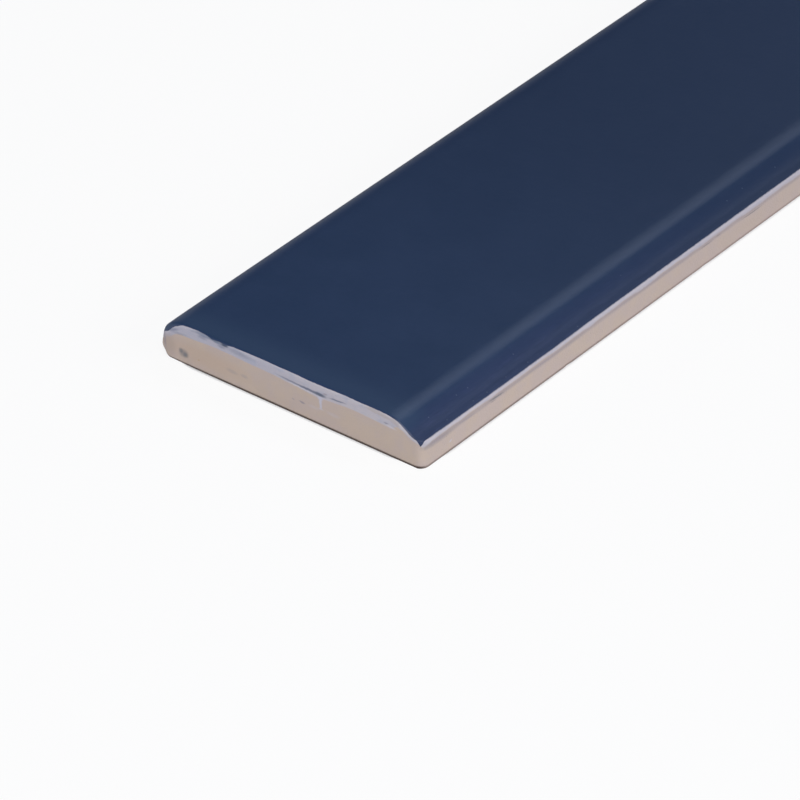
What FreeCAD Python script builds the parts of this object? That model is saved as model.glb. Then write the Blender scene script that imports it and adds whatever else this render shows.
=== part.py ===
# Slim glazed ceramic wall tile, pressed and fired as one piece.
#
# The tile lies on its back. X runs across its width, Y along its length and Z up from the
# back to the glazed face. The origin is the middle of the back, and sizes are millimetres.
# One long side, at -X, is a round bullnose. The other, at +X, steps down from the flat
# crown over a shoulder, a ramp and a cove to a thin lip, where the next tile begins.

import FreeCAD, Part
import math
import os

# Overall size
LENGTH = 300.0
WIDTH = 50.0
CROWN_HEIGHT = 7.2

# Round long side, tangent to the crown and to the side wall
BULLNOSE_RADIUS = 4.8

# Stepped long side, from the crown outwards
SHOULDER_RADIUS = 3.5
RAMP_ANGLE = 31.0
COVE_RADIUS = 3.0
SHELF_ANGLE = 10.0
SHELF_WIDTH = 1.2
STEP_DROP = 2.2

# Pressed edges: the upright corners, the rim of the glazed face and the foot of the walls
CORNER_RADIUS = 1.5
RIM_RADIUS = 0.5
BACK_BEVEL = 0.4

# Keying grooves in the back, which the adhesive fills: equal numbers each side of a middle land
GROOVE_PITCH = 9.0
GROOVE_WIDTH = 5.0
GROOVE_DEPTH = 0.6
GROOVE_DRAFT = 30.0
GROOVE_SIDE_LAND = 6.0
GROOVE_END_LAND = 9.0

# Two faces that meet at less than this angle, in degrees, run on smoothly into each other
SMOOTH_ANGLE = 5.0

# How near to a flat face a point counts as lying on it
ON_FACE = 0.001

QUARTER_TURN = 90.0
ALONG = FreeCAD.Vector(0, 1, 0)


class SectionPen:
    """Draws an outline in the XZ plane from straight runs and arcs that join smoothly."""

    def __init__(self, x, z, heading):
        self.x = x
        self.z = z
        self.heading = math.radians(heading)
        self.edges = []

    def line_to(self, x, z):
        start = FreeCAD.Vector(self.x, 0, self.z)
        end = FreeCAD.Vector(x, 0, z)
        self.edges.append(Part.LineSegment(start, end).toShape())
        self.heading = math.atan2(z - self.z, x - self.x)
        self.x = x
        self.z = z

    def forward(self, length):
        self.line_to(
            self.x + length * math.cos(self.heading),
            self.z + length * math.sin(self.heading),
        )

    def arc(self, radius, turn):
        """Turns on the radius by that many degrees: a left turn is positive."""
        to_centre = self.heading + math.copysign(math.pi / 2, turn)
        centre_x = self.x + radius * math.cos(to_centre)
        centre_z = self.z + radius * math.sin(to_centre)

        def at(share):
            angle = to_centre + math.pi + math.radians(turn) * share
            return FreeCAD.Vector(
                centre_x + radius * math.cos(angle),
                0,
                centre_z + radius * math.sin(angle),
            )

        end = at(1.0)
        self.edges.append(Part.Arc(at(0.0), at(0.5), end).toShape())
        self.heading += math.radians(turn)
        self.x = end.x
        self.z = end.z


def ramp_run():
    """The straight length of the ramp: what the arcs and the shelf leave of the drop."""
    ramp = math.radians(RAMP_ANGLE)
    shelf = math.radians(SHELF_ANGLE)
    shoulder_drop = SHOULDER_RADIUS * (1 - math.cos(ramp))
    cove_drop = COVE_RADIUS * (math.cos(shelf) - math.cos(ramp))
    shelf_drop = SHELF_WIDTH * math.tan(shelf)
    return (STEP_DROP - shoulder_drop - cove_drop - shelf_drop) / math.sin(ramp)


def step_width():
    """How far the shoulder begins from the lip's side, measured across the tile."""
    ramp = math.radians(RAMP_ANGLE)
    shelf = math.radians(SHELF_ANGLE)
    shoulder = SHOULDER_RADIUS * math.sin(ramp)
    cove = COVE_RADIUS * (math.sin(ramp) - math.sin(shelf))
    return shoulder + ramp_run() * math.cos(ramp) + cove + SHELF_WIDTH


def section():
    """The face that the press gives the tile from one long side to the other."""
    half = WIDTH / 2
    pen = SectionPen(-half, CROWN_HEIGHT - BULLNOSE_RADIUS, QUARTER_TURN)
    pen.arc(BULLNOSE_RADIUS, -QUARTER_TURN)
    pen.line_to(half - step_width(), CROWN_HEIGHT)
    pen.arc(SHOULDER_RADIUS, -RAMP_ANGLE)
    pen.forward(ramp_run())
    pen.arc(COVE_RADIUS, RAMP_ANGLE - SHELF_ANGLE)
    pen.line_to(half, CROWN_HEIGHT - STEP_DROP)
    pen.line_to(half, 0.0)
    pen.line_to(-half, 0.0)
    pen.line_to(-half, CROWN_HEIGHT - BULLNOSE_RADIUS)
    return Part.Face(Part.Wire(pen.edges))


def sharp_edges(solid):
    """The edges where two faces meet at an angle that a hand would feel, by their numbers."""
    sharp = {}
    for number, edge in enumerate(solid.Edges, start=1):
        middle = edge.valueAt((edge.FirstParameter + edge.LastParameter) / 2)
        normals = []
        for face in solid.ancestorsOfType(edge, Part.Face):
            u, v = face.Surface.parameter(middle)
            normals.append(face.normalAt(u, v))
        if math.degrees(normals[0].getAngle(normals[-1])) > SMOOTH_ANGLE:
            sharp[number] = edge
    return sharp


def lies_on_back(edge):
    return edge.BoundBox.ZMax < ON_FACE


def is_lip_corner(edge):
    """Whether an edge is one of the two upright corners at the lip's side."""
    box = edge.BoundBox
    return box.XMin > WIDTH / 2 - ON_FACE and box.YLength < ON_FACE


def rim_radius(point):
    """The ends are rounded fully down the bullnose's side wall, and finely elsewhere."""
    if point.x < ON_FACE - WIDTH / 2:
        return CORNER_RADIUS
    return RIM_RADIUS


def rim_radii(solid):
    """Each edge to round, as its number, the radius at its start and the radius at its end.

    The rounding follows an end's outline without a break, from the bullnose's side wall to the
    lip. The two bullnose arcs come first, because only there does the radius change, and the
    edge that comes first says which way along the outline counts as forward.
    """
    changing = []
    steady = []
    for number, edge in sharp_edges(solid).items():
        if lies_on_back(edge):
            continue
        start = rim_radius(edge.valueAt(edge.FirstParameter))
        end = rim_radius(edge.valueAt(edge.LastParameter))
        group = steady if start == end else changing
        group.append((number, start, end))
    return changing + steady


def rounded(solid, radii):
    """Rounds numbered edges of a solid, each from one radius to another along its length."""
    document = FreeCAD.newDocument("rounding")
    blank = document.addObject("Part::Feature", "Blank")
    blank.Shape = solid
    rounding = document.addObject("Part::Fillet", "Rounding")
    rounding.Base = blank
    rounding.Edges = radii
    document.recompute()
    result = rounding.Shape.Solids[0].copy()
    FreeCAD.closeDocument(document.Name)
    return result


def pressed_blank():
    """The tile before its back is grooved: rounded above, with a narrow bevel below."""
    face = section()
    face.translate(ALONG * (-LENGTH / 2))
    bar = face.extrude(ALONG * LENGTH)
    lip_corners = [edge for edge in bar.Edges if is_lip_corner(edge)]
    bar = bar.makeFillet(CORNER_RADIUS, lip_corners)
    bar = rounded(bar, rim_radii(bar))
    foot = [edge for edge in sharp_edges(bar).values() if lies_on_back(edge)]
    return bar.makeChamfer(BACK_BEVEL, foot)


def slot_outline(x, z, straight, radius):
    """A long slot seen from above: two straight sides joined by half circles."""
    far = straight / 2
    left = Part.LineSegment(
        FreeCAD.Vector(x - radius, far, z), FreeCAD.Vector(x - radius, -far, z)
    )
    near_end = Part.Arc(
        FreeCAD.Vector(x - radius, -far, z),
        FreeCAD.Vector(x, -far - radius, z),
        FreeCAD.Vector(x + radius, -far, z),
    )
    right = Part.LineSegment(
        FreeCAD.Vector(x + radius, -far, z), FreeCAD.Vector(x + radius, far, z)
    )
    far_end = Part.Arc(
        FreeCAD.Vector(x + radius, far, z),
        FreeCAD.Vector(x, far + radius, z),
        FreeCAD.Vector(x - radius, far, z),
    )
    return Part.Wire([left.toShape(), near_end.toShape(), right.toShape(), far_end.toShape()])


def keying_groove(x):
    """One shallow groove along the back, with sides that lean so that the press lets go."""
    mouth = GROOVE_WIDTH / 2
    bed = mouth - GROOVE_DEPTH * math.tan(math.radians(GROOVE_DRAFT))
    straight = LENGTH - 2 * GROOVE_END_LAND - GROOVE_WIDTH
    outlines = [
        slot_outline(x, 0.0, straight, mouth),
        slot_outline(x, GROOVE_DEPTH, straight, bed),
    ]
    return Part.makeLoft(outlines, True, True)


def keying_grooves():
    """The grooves that fit between the middle of the back and the lands at its long sides."""
    first = GROOVE_PITCH / 2
    last = WIDTH / 2 - GROOVE_SIDE_LAND - GROOVE_WIDTH / 2
    grooves = []
    x = first
    while x <= last:
        grooves.append(keying_groove(x))
        grooves.append(keying_groove(-x))
        x += GROOVE_PITCH
    return grooves


def wall_tile():
    """The fired tile in one piece."""
    tile = pressed_blank()
    for groove in keying_grooves():
        tile = tile.cut(groove)
    return tile.Solids[0]


def main():
    os.makedirs("parts", exist_ok=True)
    tile = wall_tile()
    print("wall_tile: volume", round(tile.Volume / 1000, 2), "cm3, faces", len(tile.Faces))
    tile.exportStep("parts/wall_tile.step")


main()
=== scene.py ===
# %% [markdown]
# # A slim glazed wall tile
# The object is one pressed and fired tile, 300 mm long. A satin navy glaze covers its face and
# stops at the edges, where a thin pale slip shows before the bare buff clay begins. One long
# side is a round bullnose, and the other steps down to a thin lip.
#
# This lesson first sets up the camera and the light, then builds the tile as one closed mesh
# with round edges, and last paints its three finishes with one material.

# %% Load the frame
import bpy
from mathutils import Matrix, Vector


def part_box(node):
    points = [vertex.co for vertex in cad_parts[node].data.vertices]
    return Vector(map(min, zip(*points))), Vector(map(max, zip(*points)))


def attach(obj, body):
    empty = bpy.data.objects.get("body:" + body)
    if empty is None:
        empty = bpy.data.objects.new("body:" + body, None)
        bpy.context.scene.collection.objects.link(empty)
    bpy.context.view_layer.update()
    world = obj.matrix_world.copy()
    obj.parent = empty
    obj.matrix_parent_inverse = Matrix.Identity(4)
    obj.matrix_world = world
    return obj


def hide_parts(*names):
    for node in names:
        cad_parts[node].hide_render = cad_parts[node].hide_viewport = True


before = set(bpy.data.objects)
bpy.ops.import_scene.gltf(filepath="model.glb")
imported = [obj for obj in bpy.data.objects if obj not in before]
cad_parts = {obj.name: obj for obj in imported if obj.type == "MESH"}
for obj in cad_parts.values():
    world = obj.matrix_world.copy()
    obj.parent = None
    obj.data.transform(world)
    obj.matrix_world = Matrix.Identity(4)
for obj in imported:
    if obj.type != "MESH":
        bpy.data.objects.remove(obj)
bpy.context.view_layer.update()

# %% [markdown]
# ## Millimetres
# Blender works in metres here, and a tile is a thing of millimetres. The overall sizes come
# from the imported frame, so the mesh can't drift away from it. They are kept in millimetres, and
# a mesh or a light is multiplied by MM when it is made. The picture is 800 pixels square.

# %% Sizes from the frame
import bmesh
import bpy
import math
from collections import namedtuple
from mathutils import Vector, kdtree, noise

MM = 0.001
_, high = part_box("wall_tile")
HALF_WIDTH = high.x / MM
HALF_LENGTH = high.y / MM
CROWN_HEIGHT = high.z / MM
scene = bpy.context.scene
print("tile", round(2 * HALF_WIDTH, 2), "x", round(2 * HALF_LENGTH, 2), "x", round(CROWN_HEIGHT, 2))

# %% [markdown]
# ## Camera
# A product photo like this one is taken from far away with a long lens, so that the edges stay
# nearly parallel. The place, the two angles and the focal length were worked out from the
# tile's own straight edges. A camera can be turned with Euler angles, but aiming it along a
# direction is easier to read: to_track_quat points its -Z axis along the direction and keeps
# its Y axis upright, so the picture has no roll.

# %% Camera at the photograph's angle
PICTURE_PIXELS = 800
FOCAL_PIXELS = 6199.7
CAMERA_AZIMUTH = math.radians(38.14)
CAMERA_ELEVATION = math.radians(34.167)
CAMERA_PLACE = Vector((480.41, -735.34, 515.98))

looking = Vector((
    -math.sin(CAMERA_AZIMUTH) * math.cos(CAMERA_ELEVATION),
    math.cos(CAMERA_AZIMUTH) * math.cos(CAMERA_ELEVATION),
    -math.sin(CAMERA_ELEVATION),
))
camera = bpy.data.objects.new("photo_camera", bpy.data.cameras.new("photo_camera"))
camera.data.lens = camera.data.sensor_width * FOCAL_PIXELS / PICTURE_PIXELS
camera.location = CAMERA_PLACE * MM
camera.rotation_euler = looking.to_track_quat("-Z", "Y").to_euler()
scene.collection.objects.link(camera)
scene.camera = camera
print("lens", round(camera.data.lens, 1), "mm")

# %% [markdown]
# ## Shader sums written in Python
# A material is a graph of nodes, and building one by hand takes many lines. This small class
# wraps one socket, so that `1 - mask` or `mask * 0.3` adds the Math node that it needs. Any
# other node comes from one function, which takes the node's type, its settings and what goes
# into its sockets.

# %% A socket that can be calculated with
class Wire:
    """The output of a shader node. Python's own signs add Math nodes to it."""

    def __init__(self, socket):
        self.socket = socket

    @staticmethod
    def node(tree, kind, settings, inputs, output=0):
        """Adds a node: its settings are set first, then the numbers or wires of its sockets."""
        made = tree.nodes.new("ShaderNode" + kind)
        for name, setting in settings.items():
            setattr(made, name, setting)
        for name, value in inputs.items():
            if isinstance(value, Wire):
                tree.links.new(value.socket, made.inputs[name])
            else:
                made.inputs[name].default_value = value
        return Wire(made.outputs[output])

    @property
    def tree(self):
        return self.socket.id_data

    def math(self, operation, first, second=0.0):
        return Wire.node(self.tree, "Math", {"operation": operation}, {0: first, 1: second})

    def __add__(self, other):
        return self.math("ADD", self, other)

    def __radd__(self, other):
        return self.math("ADD", other, self)

    def __sub__(self, other):
        return self.math("SUBTRACT", self, other)

    def __rsub__(self, other):
        return self.math("SUBTRACT", other, self)

    def __mul__(self, other):
        return self.math("MULTIPLY", self, other)

    def __rmul__(self, other):
        return self.math("MULTIPLY", other, self)

    def __truediv__(self, other):
        return self.math("DIVIDE", self, other)


trial_tree = bpy.data.node_groups.new("trial", "ShaderNodeTree")
some_value = Wire.node(trial_tree, "Value", {}, {})
inverse = 1 - some_value * 0.3
print("`1 - some_value * 0.3` made", len(trial_tree.nodes) - 1, "Math nodes")
bpy.data.node_groups.remove(trial_tree)

# %% [markdown]
# ## Masks, mixes and colours
# Most of a finish is masks, which are 1 where something shows and 0 where it doesn't. Map Range
# makes one from any measure. Math nodes only handle single numbers, so colours are blended
# with a Mix node. Colours are written as a picture editor shows them and turned into linear
# light here, because that is what Blender calculates with.

# %% Helpers for masks and colours
def step(value, start, end):
    """A mask that rises smoothly from 0 at start to 1 at end."""
    return Wire.node(
        value.tree, "MapRange", {"interpolation_type": "SMOOTHSTEP"},
        {"Value": value, "From Min": start, "From Max": end},
    )


def blend(mask, colour, other):
    """One colour where the mask is 0 and the other where it is 1."""
    return Wire.node(
        mask.tree, "Mix", {"data_type": "RGBA"}, {0: mask, 6: colour, 7: other}, output=2
    )


def to_output(tree, kind, shader):
    """Connects a shader to the output node of a Material or a World."""
    out = tree.nodes.new("ShaderNodeOutput" + kind)
    tree.links.new(shader.socket, out.inputs["Surface"])


def from_srgb(red, green, blue):
    """A colour as a picture editor writes it, from 0 to 255, as Blender's linear colour."""
    linear = []
    for part in (red, green, blue):
        share = part / 255
        linear.append(share / 12.92 if share < 0.04045 else ((share + 0.055) / 1.055) ** 2.4)
    return (*linear, 1.0)


print("mid grey 128 is", round(from_srgb(128, 128, 128)[0], 3), "in linear light")

# %% [markdown]
# ## Floor and background
# The tile lies on plain white card. A floor that is simply lit comes out a little grey, and
# more lamps would wash out the tile. So the camera alone sees the floor mixed with plain
# white, while every other ray, such as the light that bounces up onto the tile's sides, meets
# the card itself. The mix is not complete, which keeps the tile's soft shadow. Right beside
# the foot there is little white in it, so the thin dark line of contact shows. The line
# follows the tile's outline, with well rounded corners where the foot stands clear of the card.

# %% White card floor
FLOOR_REACH = 12.0
CARD = from_srgb(243, 243, 244)
CARD_FIBRES = from_srgb(246, 246, 247)
PLAIN_WHITE = (1.0, 1.0, 1.0, 1.0)
WHITE_SHARE = 0.88
CONTACT_WHITE = 0.35
CONTACT_START = 0.05
CONTACT_END = 0.42
CONTACT_CORNER = 7.0


def beyond(place, half):
    """How many millimetres a place lies past the straight part of a side, along one axis."""
    distance = place.math("ABSOLUTE", place) / MM - (half - CONTACT_CORNER)
    return distance.math("MAXIMUM", distance, 0.0)


def white_card():
    material = bpy.data.materials.new("white_card")
    material.use_nodes = True
    tree = material.node_tree
    tree.nodes.clear()
    fibres = Wire.node(tree, "TexNoise", {}, {"Scale": 40.0, "Detail": 3.0})
    card = Wire.node(tree, "BsdfDiffuse", {}, {"Color": blend(fibres, CARD, CARD_FIBRES)})
    white = Wire.node(tree, "Emission", {}, {"Color": PLAIN_WHITE, "Strength": 1.0})
    seen = Wire.node(tree, "LightPath", {}, {})
    place = Wire.node(tree, "TexCoord", {}, {}, output="Object")
    beside = beyond(Wire.node(tree, "SeparateXYZ", {}, {0: place}, output="X"), HALF_WIDTH)
    past_end = beyond(Wire.node(tree, "SeparateXYZ", {}, {0: place}, output="Y"), HALF_LENGTH)
    from_corner = seen.math("SQRT", beside * beside + past_end * past_end)
    clear = step(from_corner - CONTACT_CORNER, CONTACT_START, CONTACT_END)
    share = WHITE_SHARE * (CONTACT_WHITE + (1 - CONTACT_WHITE) * clear)
    both = Wire.node(tree, "MixShader", {}, {0: seen * share, 1: card, 2: white})
    to_output(tree, "Material", both)
    return material


def floor_plane():
    mesh = bpy.data.meshes.new("card_floor")
    corners = [(x * FLOOR_REACH, y * FLOOR_REACH, 0.0) for x, y in ((-1, -1), (1, -1), (1, 1), (-1, 1))]
    mesh.from_pydata(corners, [], [(0, 1, 2, 3)])
    mesh.materials.append(white_card())
    floor = bpy.data.objects.new("card_floor", mesh)
    scene.collection.objects.link(floor)
    return floor


floor = floor_plane()
print("floor", 2 * FLOOR_REACH, "m square")

# %% [markdown]
# ## Light
# The room is dim all round, and four softboxes do the work. Each one's brightness is given as
# its radiance, the same measure as the room's, so 1 is as bright as lit white card. What a
# lamp gives a surface is its brightness times its solid angle, so the distance and the size
# are chosen first and the brightness last. The box overhead lights the face, the window box
# the lip's side and the front fill the near end. The box behind the tile stands half way up:
# its reflection runs along the shoulder, where the face turns down, and draws the soft line
# that shows the glaze to be satin.

# %% Dim room and softboxes
HORIZON = (0.29, 0.35, 0.52, 1.0)
CEILING = (0.020, 0.026, 0.038, 1.0)
HORIZON_TOP = 0.05
CEILING_START = 0.58
Softbox = namedtuple("Softbox", "name towards distance width height brightness tint")

SOFTBOXES = [
    Softbox("overhead_box", (0.30, -0.45, 0.85), 1.3, 0.87, 0.87, 3.8, (1.0, 1.0, 1.0)),
    Softbox("window_box", (0.92, 0.16, 0.42), 1.6, 1.0, 0.8, 4.35, (1.0, 1.0, 1.01)),
    Softbox("front_fill", (-0.13, -0.92, 0.40), 1.4, 0.9, 0.7, 1.86, (1.0, 0.98, 0.925)),
    Softbox("back_box", (-0.12, 0.65, 0.75), 2.2, 1.36, 0.8, 1.55, (0.88, 1.0, 1.26)),
]


def light_room():
    world = bpy.data.worlds.new("studio")
    world.use_nodes = True
    tree = world.node_tree
    tree.nodes.clear()
    direction = Wire.node(tree, "TexCoord", {}, {}, output="Generated")
    upward = Wire.node(tree, "SeparateXYZ", {}, {0: direction}, output="Z")
    tone = blend(step(upward, HORIZON_TOP, CEILING_START), HORIZON, CEILING)
    room = Wire.node(tree, "Background", {}, {"Color": tone})
    white = Wire.node(tree, "Background", {}, {"Color": PLAIN_WHITE})
    seen = Wire.node(tree, "LightPath", {}, {})
    both = Wire.node(tree, "MixShader", {}, {0: seen, 1: room, 2: white})
    to_output(tree, "World", both)
    scene.world = world


def add_softbox(box):
    lamp = bpy.data.lights.new(box.name, "AREA")
    lamp.shape = "RECTANGLE"
    lamp.size = box.width
    lamp.size_y = box.height
    lamp.color = box.tint
    lamp.energy = box.brightness * math.pi * box.width * box.height
    towards = Vector(box.towards).normalized()
    holder = bpy.data.objects.new(box.name, lamp)
    holder.location = towards * box.distance
    holder.rotation_euler = (-towards).to_track_quat("-Z", "Y").to_euler()
    holder.visible_camera = False
    scene.collection.objects.link(holder)
    share = box.brightness * box.width * box.height / box.distance**2 / math.pi
    print(box.name, "gives a surface that faces it", round(share, 2))


light_room()
for box in SOFTBOXES:
    add_softbox(box)
scene.view_settings.view_transform = "Standard"

# %% [markdown]
# ## The pressed section
# Cut across, the tile is a flat crown with a round bullnose at one side and a step at the
# other: a wide easing arc, a tighter shoulder, a ramp, a cove and a narrow shelf. It could be
# drawn as a Bezier curve and extruded, but then the ends would be sharp and the points couldn't
# be placed where the curves need them. So a pen walks round the outline, drops points as it
# goes, and notes at each one which way the surface faces. Lines get few points and arcs many.

# %% A pen that walks round the section
class Pen:
    """Draws in the XZ plane. The outside of the tile is always on its left."""

    def __init__(self, x, z, heading):
        self.x = x
        self.z = z
        self.heading = math.radians(heading)
        self.points = [(x, z, *self.outward())]

    def outward(self):
        return (-math.sin(self.heading), math.cos(self.heading))

    def drop(self, x, z):
        self.x = x
        self.z = z
        self.points.append((x, z, *self.outward()))

    def line_to(self, x, z, steps):
        from_x, from_z = self.x, self.z
        self.heading = math.atan2(z - from_z, x - from_x)
        for stop in range(1, steps + 1):
            share = stop / steps
            self.drop(from_x + (x - from_x) * share, from_z + (z - from_z) * share)

    def arc(self, radius, turn, steps):
        """Turns on the radius by that many degrees: a left turn is positive."""
        side = math.copysign(1.0, turn)
        centre_x = self.x - side * radius * math.sin(self.heading)
        centre_z = self.z + side * radius * math.cos(self.heading)
        for _ in range(steps):
            self.heading += math.radians(turn) / steps
            self.drop(
                centre_x + side * radius * math.sin(self.heading),
                centre_z - side * radius * math.cos(self.heading),
            )


trial = Pen(0.0, 0.0, 90.0)
trial.arc(5.0, -90.0, 4)
print("a quarter round of 5 mm ends at", round(trial.x, 2), round(trial.z, 2))

# %% [markdown]
# ## Where the step begins
# The step drops by 2.2 mm in all. Its arcs and its shelf use up some of that, and the straight
# part of the ramp gets what is left. The same sum across the tile tells where the flat crown
# ends, so any of these sizes can change and the step still fits.

# %% Sizes of the section
BULLNOSE_RADIUS = 4.7
EASE_RADIUS = 9.0
EASE_ANGLE = 10.0
SHOULDER_RADIUS = 3.5
RAMP_ANGLE = 31.0
COVE_RADIUS = 3.0
SHELF_ANGLE = 6.0
SHELF_WIDTH = 1.2
STEP_DROP = 2.2
RIM_RADIUS = 0.5
BACK_BEVEL = 0.12
LIP_HEIGHT = CROWN_HEIGHT - STEP_DROP


def ramp_run():
    """The straight length of the ramp: what the arcs and the shelf leave of the drop."""
    ease = math.radians(EASE_ANGLE)
    ramp = math.radians(RAMP_ANGLE)
    shelf = math.radians(SHELF_ANGLE)
    drop = EASE_RADIUS * (1 - math.cos(ease))
    drop += SHOULDER_RADIUS * (math.cos(ease) - math.cos(ramp))
    drop += COVE_RADIUS * (math.cos(shelf) - math.cos(ramp))
    drop += SHELF_WIDTH * math.tan(shelf)
    return (STEP_DROP - drop) / math.sin(ramp)


def shoulder_start():
    """Where across the tile the flat crown ends."""
    ease = math.radians(EASE_ANGLE)
    ramp = math.radians(RAMP_ANGLE)
    shelf = math.radians(SHELF_ANGLE)
    width = EASE_RADIUS * math.sin(ease)
    width += SHOULDER_RADIUS * (math.sin(ramp) - math.sin(ease))
    width += ramp_run() * math.cos(ramp)
    width += COVE_RADIUS * (math.sin(ramp) - math.sin(shelf))
    return HALF_WIDTH - SHELF_WIDTH - width


print("ramp", round(ramp_run(), 3), "mm, shoulder starts at x =", round(shoulder_start(), 3))

# %% [markdown]
# ## Four runs of points
# The end of the tile has to be closed with a neat grid of faces, and a grid has four sides. So
# the outline is split into four runs: up the bullnose's side, over the glazed face, up the
# lip's side and along the back, each pair of opposite runs with as many points. The back
# takes its points straight below those of the face.

# %% The outline as four runs
ARC_STEPS = 7
SHORT_ARC_STEPS = 5
CROWN_STEPS = 28
RAMP_STEPS = 3
SHELF_STEPS = 2
LIP_STEPS = 3
LIP_WALL_STEPS = 9
BULLNOSE_WALL_STEPS = 5


def bullnose_run():
    """From the back up the round side, to half way round the bullnose."""
    pen = Pen(-HALF_WIDTH, BACK_BEVEL, 90.0)
    pen.line_to(-HALF_WIDTH, CROWN_HEIGHT - BULLNOSE_RADIUS, BULLNOSE_WALL_STEPS)
    pen.arc(BULLNOSE_RADIUS, -45.0, ARC_STEPS)
    foot = (-HALF_WIDTH + BACK_BEVEL, 0.0, 0.0, -1.0)
    return [foot] + pen.points


def face_run():
    """From half way round the bullnose, over the face, to half way round the lip."""
    last_x, last_z = bullnose_run()[-1][:2]
    pen = Pen(last_x, last_z, 45.0)
    pen.arc(BULLNOSE_RADIUS, -45.0, ARC_STEPS)
    pen.line_to(shoulder_start(), CROWN_HEIGHT, CROWN_STEPS)
    pen.arc(EASE_RADIUS, -EASE_ANGLE, SHORT_ARC_STEPS)
    pen.arc(SHOULDER_RADIUS, EASE_ANGLE - RAMP_ANGLE, ARC_STEPS)
    ramp = math.radians(RAMP_ANGLE)
    across, down = ramp_run() * math.cos(ramp), ramp_run() * math.sin(ramp)
    pen.line_to(pen.x + across, pen.z - down, RAMP_STEPS)
    pen.arc(COVE_RADIUS, RAMP_ANGLE - SHELF_ANGLE, SHORT_ARC_STEPS)
    lip_turn = math.radians(90.0 - SHELF_ANGLE)
    tangent = RIM_RADIUS * math.tan(lip_turn / 2)
    shelf = math.radians(SHELF_ANGLE)
    lip_x = HALF_WIDTH - tangent * math.cos(shelf)
    pen.line_to(lip_x, LIP_HEIGHT + (HALF_WIDTH - lip_x) * math.tan(shelf), SHELF_STEPS)
    pen.arc(RIM_RADIUS, -math.degrees(lip_turn) / 2, LIP_STEPS)
    return pen.points


def lip_run():
    """From half way round the lip down to the back. It is turned round later."""
    last_x, last_z = face_run()[-1][:2]
    half_turn = (90.0 - SHELF_ANGLE) / 2
    pen = Pen(last_x, last_z, -SHELF_ANGLE - half_turn)
    pen.arc(RIM_RADIUS, -half_turn, LIP_STEPS)
    pen.line_to(HALF_WIDTH, BACK_BEVEL, LIP_WALL_STEPS)
    pen.line_to(HALF_WIDTH - BACK_BEVEL, 0.0, 1)
    return pen.points


def back_run():
    """From the bullnose's side to the lip's side, with a point below each point of the face."""
    face = face_run()
    reach = (HALF_WIDTH - BACK_BEVEL) * 2
    first, last = face[0][0], face[-1][0]
    return [(reach * ((x - first) / (last - first) - 0.5), 0.0, 0.0, -1.0) for x, *_ in face]


print("points", len(bullnose_run()), len(face_run()), len(lip_run()), len(back_run()))

# %% [markdown]
# ## Round ends
# A pressed tile has no sharp edge. Blender's Bevel modifier would round the ends, but with one
# radius, and here it changes: the upright corners are round by 1.5 mm, the rim of the face
# by only 0.5 mm, and the bullnose goes smoothly from one to the other. So each point of the
# section will know its own radius. What a rounding takes off at some distance from the end
# is a little circle geometry, and `smooth` is used wherever one size goes over into another.

# %% How deep a rounding cuts in
CORNER_RADIUS = 1.5


def cut(radius, to_end):
    """How deep a rounding of this radius has cut in, at this distance from the end."""
    if to_end >= radius:
        return 0.0
    return radius - math.sqrt(radius**2 - (radius - to_end) ** 2)


def smooth(value, start, end):
    """0 before start, 1 after end, and an even curve between them."""
    share = min(max((value - start) / (end - start), 0.0), 1.0)
    return share * share * (3 - 2 * share)


halfway = cut(RIM_RADIUS, RIM_RADIUS / 2)
print("rim cut at the very end", cut(RIM_RADIUS, 0.0), "and half way in", round(halfway, 3))

# %% [markdown]
# ## How each point pulls in
# A point is kept with the direction in which it sinks (`in_x`, `in_z`), the radius that goes
# with it (`rim`) and how much of the upright corner beside the lip it follows (`pull`). A point
# that this corner draws inwards also takes the height of the face there, so the step keeps its
# shape round the corner. Low on the bullnose's side wall the clay filled the press better, so
# the rounding is a little fuller there.

# %% How a point of the section moves near the ends
Place = namedtuple("Place", "x z in_x in_z rim pull on_back")
FULLER_FOOT = 0.35
FULLER_BELOW = 2.0
FULLER_END = 3.4
NEARLY = 0.001

FACE_LINE = [(x, z) for x, z, *_ in face_run() if x < HALF_WIDTH - SHELF_WIDTH + NEARLY]
FACE_LINE.append((HALF_WIDTH, LIP_HEIGHT))


def face_height(x):
    """The height of the glazed face at a place across the tile, on its step side."""
    for (x0, z0), (x1, z1) in zip(FACE_LINE, FACE_LINE[1:]):
        if x <= x1:
            return z0 + (z1 - z0) * (x - x0) / (x1 - x0)
    return LIP_HEIGHT


def bullnose_place(x, z, out_x, out_z):
    rim = RIM_RADIUS + (CORNER_RADIUS - RIM_RADIUS) * (1 - smooth(out_z, 0.0, 1.0))
    rim -= FULLER_FOOT * (1 - smooth(z, FULLER_BELOW, FULLER_END))
    return Place(x, z, out_x, out_z, rim, 0.0, False)


def step_place(x, z, out_x, out_z):
    """On the face and the lip. The lip itself only sinks, because its corner pulls it in."""
    pull = smooth(x, shoulder_start(), HALF_WIDTH - RIM_RADIUS)
    shelf_out_z = math.cos(math.radians(SHELF_ANGLE))
    on_lip = x > HALF_WIDTH - RIM_RADIUS and out_z < shelf_out_z - NEARLY
    return Place(x, z, 0.0 if on_lip else out_x, out_z, RIM_RADIUS, pull, False)


def back_place(x, z, out_x, out_z):
    return Place(x, z, 0.0, 0.0, RIM_RADIUS, x / (HALF_WIDTH - BACK_BEVEL), True)


def moved(place, to_end):
    """Where a point of the section lies on the ring at this distance from the end."""
    corner = cut(CORNER_RADIUS, to_end) * place.pull
    rim = cut(place.rim, to_end)
    if place.on_back:
        return place.x - corner, place.z + max(0.0, BACK_BEVEL - to_end)
    x = place.x - corner
    rise = face_height(x) / face_height(place.x) if place.pull else 1.0
    return x - place.in_x * rim, place.z * rise - place.in_z * rim


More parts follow.
